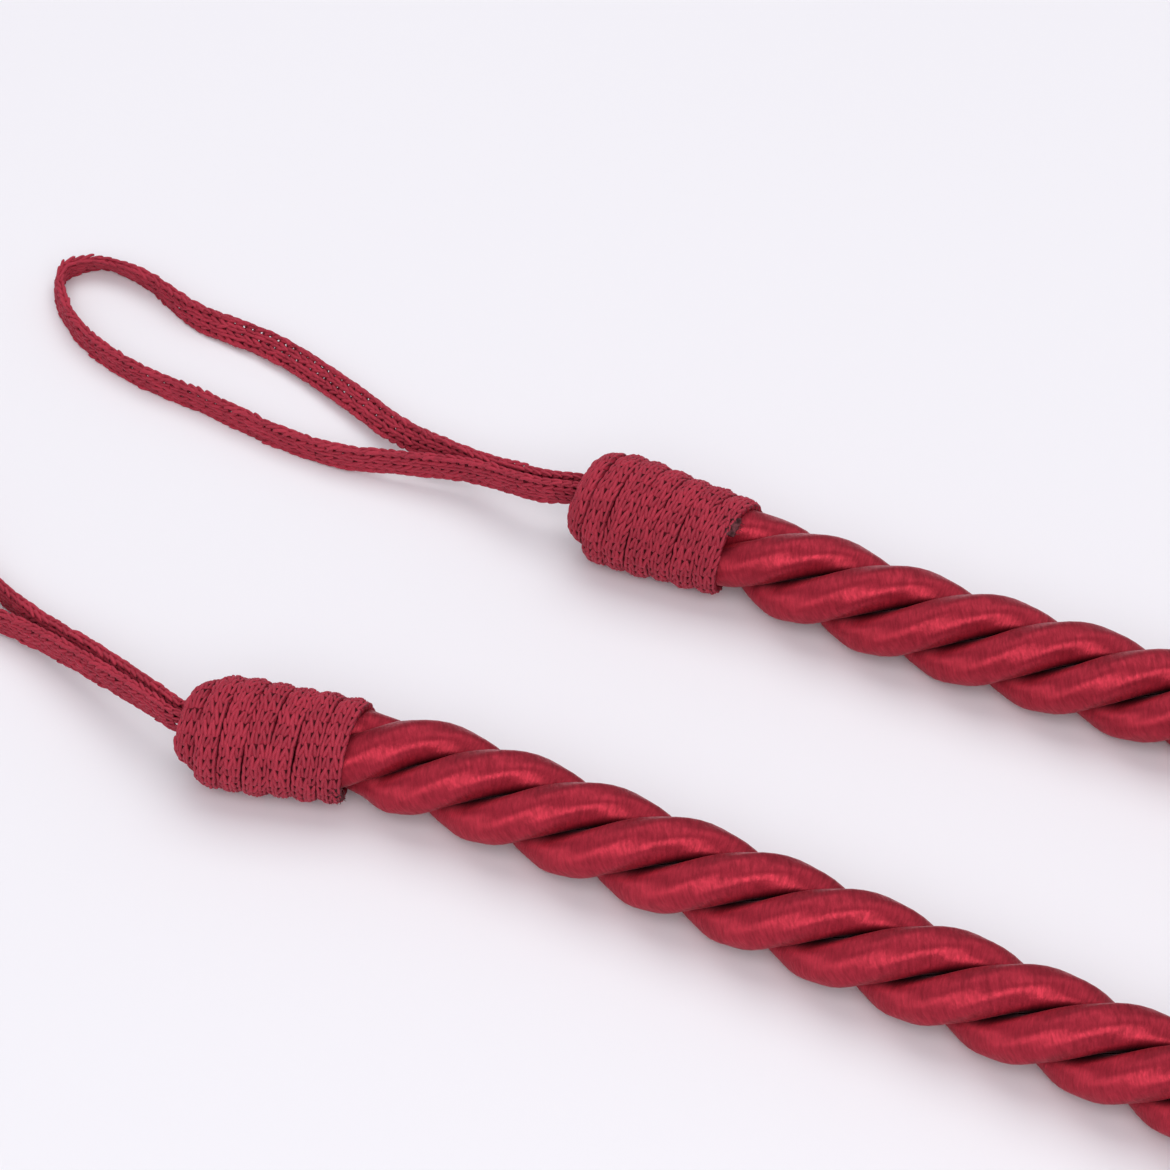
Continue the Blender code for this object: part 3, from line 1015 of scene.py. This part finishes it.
class TIEBACK_OT_rope(bpy.types.Operator):
    """Lay the three satin strands of the rope"""

    bl_idname = "tieback.rope"
    bl_label = "Satin rope"

    def execute(self, context):
        settings = context.scene.tieback_rope
        line = spline_points(ROPE_ROUTE)
        whole = distances(line)[-1]
        points, along = resampled(line, HIDDEN_END, whole - HIDDEN_END, ROPE_STEP)
        from_end = np.minimum(along, whole - along) - WHIP_LENGTH - SWELL_START
        girth = BOUND_SHARE + (1 - BOUND_SHARE) * smooth_step(from_end / SWELL_LENGTH)
        values = {
            "Strands": settings.strands,
            "Lay": settings.lay,
            "First Angle": settings.first_angle,
            "Rope Radius": settings.diameter / 2,
            "Strand Centre": settings.strand_centre,
            "Strand Depth": settings.strand_depth,
            "Strand Half Width": settings.strand_half_width,
            "Material": satin_material(settings, bpy.data.node_groups["fibre_streaks"]),
        }
        line = chain_mesh("rope_line", points, along=along, girth=girth)
        rope = grown(line, laid_strands_tree(), "satin_rope", values)
        finished(rope, "satin_rope", "rope")
        return {"FINISHED"}


def knitted_piece(settings, use, end, seed, points, outward, girth):
    """Knits the cord of one whipping or loop along its line."""
    line = chain_mesh(f"{use}_line_{end}", points, outward=outward, girth=girth)
    name, node = ("whipping_cord_", "whipping_") if use == "wound" else ("loop_cord_", "loop_")
    values = {
        "Course": settings.course,
        "Section": bpy.data.objects[use + "_section"],
        "Stitch": bpy.data.objects[use + "_stitch"],
        "Outer Side Only": use == "wound",
        "Seed": seed,
        "Yarn Material": bpy.data.materials["knitted_yarn"],
        "Lining Material": bpy.data.materials[use + "_base"],
    }
    piece = grown(line, bpy.data.node_groups["knitted_cord"], name + end, values)
    finished(piece, "knitted_cord", node + end)
    return piece


def wound_line(placed, profile, turns, last_angle):
    """Middle line of the cord wound round a whipping, and the way out from it at each point."""
    heights, radii = np.array(profile).T
    start, end = WOUND_START, WHIP_LENGTH - WOUND_END
    share = np.linspace(0.0, 1.0, int(turns * POINTS_PER_TURN))
    turned = share * turns
    height = start + (end - start) * share + WOUND_WAVER * np.sin(turned * WAVES_ALONG)
    smooth = np.linspace(heights[0], heights[-1], PROFILE_SAMPLES)
    fitted = np.interp(smooth, heights, radii)
    for _ in range(PROFILE_SMOOTHINGS):
        fitted[1:-1] = (fitted[:-2] + fitted[1:-1] * 2 + fitted[2:]) / 4
    radius = np.interp(height, smooth, fitted) - CORD_HALF_THICKNESS
    radius += WOUND_WAVER * np.sin(turned * WAVES_OUTWARD + 1.0)
    slope = np.arctan(np.interp(height, smooth, np.gradient(fitted, smooth)))
    tucked = 1 - smooth_step(turned / TUCKED_TURN)
    radius *= 1 - (1 - TUCKED_SHARE) * tucked
    height += TUCKED_DEPTH * tucked
    angle = last_angle + TURN * turns * (1 - share)
    points, outward = [], []
    turn = placed.to_3x3()
    for h, r, a, lean in zip(height, radius, angle, slope):
        point, spoke = on_whipping(placed, a, r, h)
        points.append(point)
        outward.append(turn @ (spoke * math.cos(lean) - Vector((0.0, 0.0, math.sin(lean)))))
    return points, outward


class TIEBACK_OT_whippings(bpy.types.Operator):
    """Wind the knitted cord round both ends of the rope"""

    bl_idname = "tieback.whippings"
    bl_label = "Whippings"

    def execute(self, context):
        settings = context.scene.tieback_cord
        places = whipping_places()
        profiles = (("near", NEAR_WHIP_PROFILE), ("far", FAR_WHIP_PROFILE))
        for seed, (end, profile) in enumerate(profiles, WOUND_SEED):
            points, outward = wound_line(places[end], profile, settings.turns, settings.end_angle)
            girth = np.ones(len(points))
            knitted_piece(settings, "wound", end, seed, points, outward, girth)
        return {"FINISHED"}


class TIEBACK_OT_sealed_ends(bpy.types.Operator):
    """Add the cord's ends, sealed by heat, where they come out of the whippings"""

    bl_idname = "tieback.sealed_ends"
    bl_label = "Sealed cord ends"

    def execute(self, context):
        places = whipping_places()
        tree = sealed_end_tree()
        share = np.linspace(0.0, 1.0, SEALED_POINTS)
        start, span = SEALED_ROUNDING
        rounding = np.sin(math.pi * (start + span * share))
        girth = SEALED_TIP + (1 - SEALED_TIP) * np.sqrt(np.clip(rounding, 0.0, 1.0))
        for seed, (end, height, radius, first, last) in enumerate(SEALED_ENDS, SEALED_SEED):
            turn = places[end].to_3x3()
            points, outward = [], []
            for t in share:
                angle = math.radians(first + (last - first) * t)
                point, spoke = on_whipping(places[end], angle, radius, height)
                points.append(point)
                outward.append(turn @ spoke)
            line = chain_mesh("sealed_line_" + end, points, outward=outward, girth=girth)
            values = {"Seed": seed, "Material": bpy.data.materials["singed_yarn"]}
            finished(grown(line, tree, "sealed_end_" + end, values), "knitted_cord")
        return {"FINISHED"}


def loop_line(placed, route):
    """Line of a hanging loop: out of the whipping, round the hook's place and back in."""
    ends = []
    for side in (-1, 1):
        for depth in (LEG_DEPTH, 0.0):
            ends.append(tuple(placed @ Vector((side * LEG_SPREAD, EXIT_RISE, depth))))
    return spline_points((ends[0], ends[1], *route, ends[3], ends[2]))


class TIEBACK_OT_loops(bpy.types.Operator):
    """Knit the flat cord of the two hanging loops"""

    bl_idname = "tieback.loops"
    bl_label = "Hanging loops"

    def execute(self, context):
        settings = context.scene.tieback_cord
        places = whipping_places()
        routes = (("near", NEAR_LOOP_ROUTE), ("far", FAR_LOOP_ROUTE))
        for seed, (end, route) in enumerate(routes, LOOP_SEED):
            line = loop_line(places[end], route)
            whole = distances(line)[-1]
            points, along = resampled(line, 0.0, whole, LOOP_STEP)
            side = unit(np.cross(UPWARD, directions(points)))
            shares, rolls = np.array(LOOP_ROLL[end]).T
            roll = np.radians(np.interp(along / whole, shares, rolls))[:, None]
            side = side * np.cos(roll) + np.array(UPWARD) * np.sin(roll)
            from_end = np.minimum(along, whole - along) - LEG_DEPTH
            girth = NIPPED_SCALE + (1 - NIPPED_SCALE) * smooth_step(from_end / NIPPED_LENGTH)
            loop = knitted_piece(settings, "loop", end, seed, points, side, girth)
        return {"FINISHED"}


def aim(thing, place, target=(0.0, 0.0, 0.0)):
    thing.location = place
    thing.rotation_euler = (Vector(target) - Vector(place)).to_track_quat("-Z", "Y").to_euler()


def area_light(name, place, size, colour, strength):
    """A soft light aimed at the origin."""
    data = bpy.data.lights.new(name, "AREA")
    data.shape = "RECTANGLE"
    data.size, data.size_y = size
    data.energy = strength
    data.color = colour
    light = linked(name, data)
    aim(light, place)
    return light


class TIEBACK_OT_stage(bpy.types.Operator):
    """Set the camera, the soft lights and the pale floor"""

    bl_idname = "tieback.stage"
    bl_label = "Stage"

    def execute(self, context):
        scene = context.scene
        settings = scene.tieback_stage
        camera_data = bpy.data.cameras.new("camera")
        camera_data.sensor_width = SENSOR_WIDTH
        camera_data.lens = settings.focal_length
        camera_data.clip_start, camera_data.clip_end = CLIP_START, CLIP_END
        camera = linked("camera", camera_data)
        aim(camera, settings.camera_place, settings.camera_target)
        scene.camera = camera
        scene.view_settings.view_transform = "Standard"

        floor_mesh = bpy.data.meshes.new("floor")
        signs = ((-1, -1), (1, -1), (1, 1), (-1, 1))
        corners = [(x * FLOOR_REACH, y * FLOOR_REACH, 0.0) for x, y in signs]
        floor_mesh.from_pydata(corners, [], [(0, 1, 2, 3)])
        floor_mesh.materials.append(floor_material(settings))
        floor = linked("floor", floor_mesh)

        for name, place, size, colour, in_matt, in_gloss in LIGHTS:
            light = area_light(name, place, size, colour, getattr(settings, name))
            light.visible_diffuse, light.visible_glossy = in_matt, in_gloss
        world = bpy.data.worlds.new("studio")
        scene.world = world
        world.use_nodes = True
        glow = world.node_tree.nodes["Background"]
        fill(world.node_tree, glow, {"Color": ROOM_COLOUR, "Strength": settings.room_light})
        return {"FINISHED"}


class TIEBACK_PT_panel(bpy.types.Panel):
    """Buttons that build the tieback, and its sizes and colours"""

    bl_idname = "TIEBACK_PT_panel"
    bl_label = "Curtain tieback"
    bl_space_type = "VIEW_3D"
    bl_region_type = "UI"
    bl_category = "Tieback"

    def draw(self, context):
        layout = self.layout
        for operator in OPERATORS:
            layout.operator(operator.bl_idname)
        for name, group in SETTINGS:
            box = layout.box()
            for setting in group.__annotations__:
                box.prop(getattr(context.scene, name), setting)


OPERATORS = (
    TIEBACK_OT_stage,
    TIEBACK_OT_materials,
    TIEBACK_OT_rope,
    TIEBACK_OT_whippings,
    TIEBACK_OT_sealed_ends,
    TIEBACK_OT_loops,
)
SETTINGS = (
    ("tieback_rope", TiebackRopeSettings),
    ("tieback_cord", TiebackCordSettings),
    ("tieback_stage", TiebackStageSettings),
)


def register():
    for name, group in SETTINGS:
        bpy.utils.register_class(group)
        setattr(bpy.types.Scene, name, PointerProperty(type=group))
    for operator in (*OPERATORS, TIEBACK_PT_panel):
        bpy.utils.register_class(operator)


def unregister():
    for operator in (TIEBACK_PT_panel, *OPERATORS[::-1]):
        bpy.utils.unregister_class(operator)
    for name, group in SETTINGS[::-1]:
        delattr(bpy.types.Scene, name)
        bpy.utils.unregister_class(group)


def main():
    register()
    for operator in OPERATORS:
        family, action = operator.bl_idname.split(".")
        getattr(getattr(bpy.ops, family), action)()


if __name__ == "__main__":
    main()
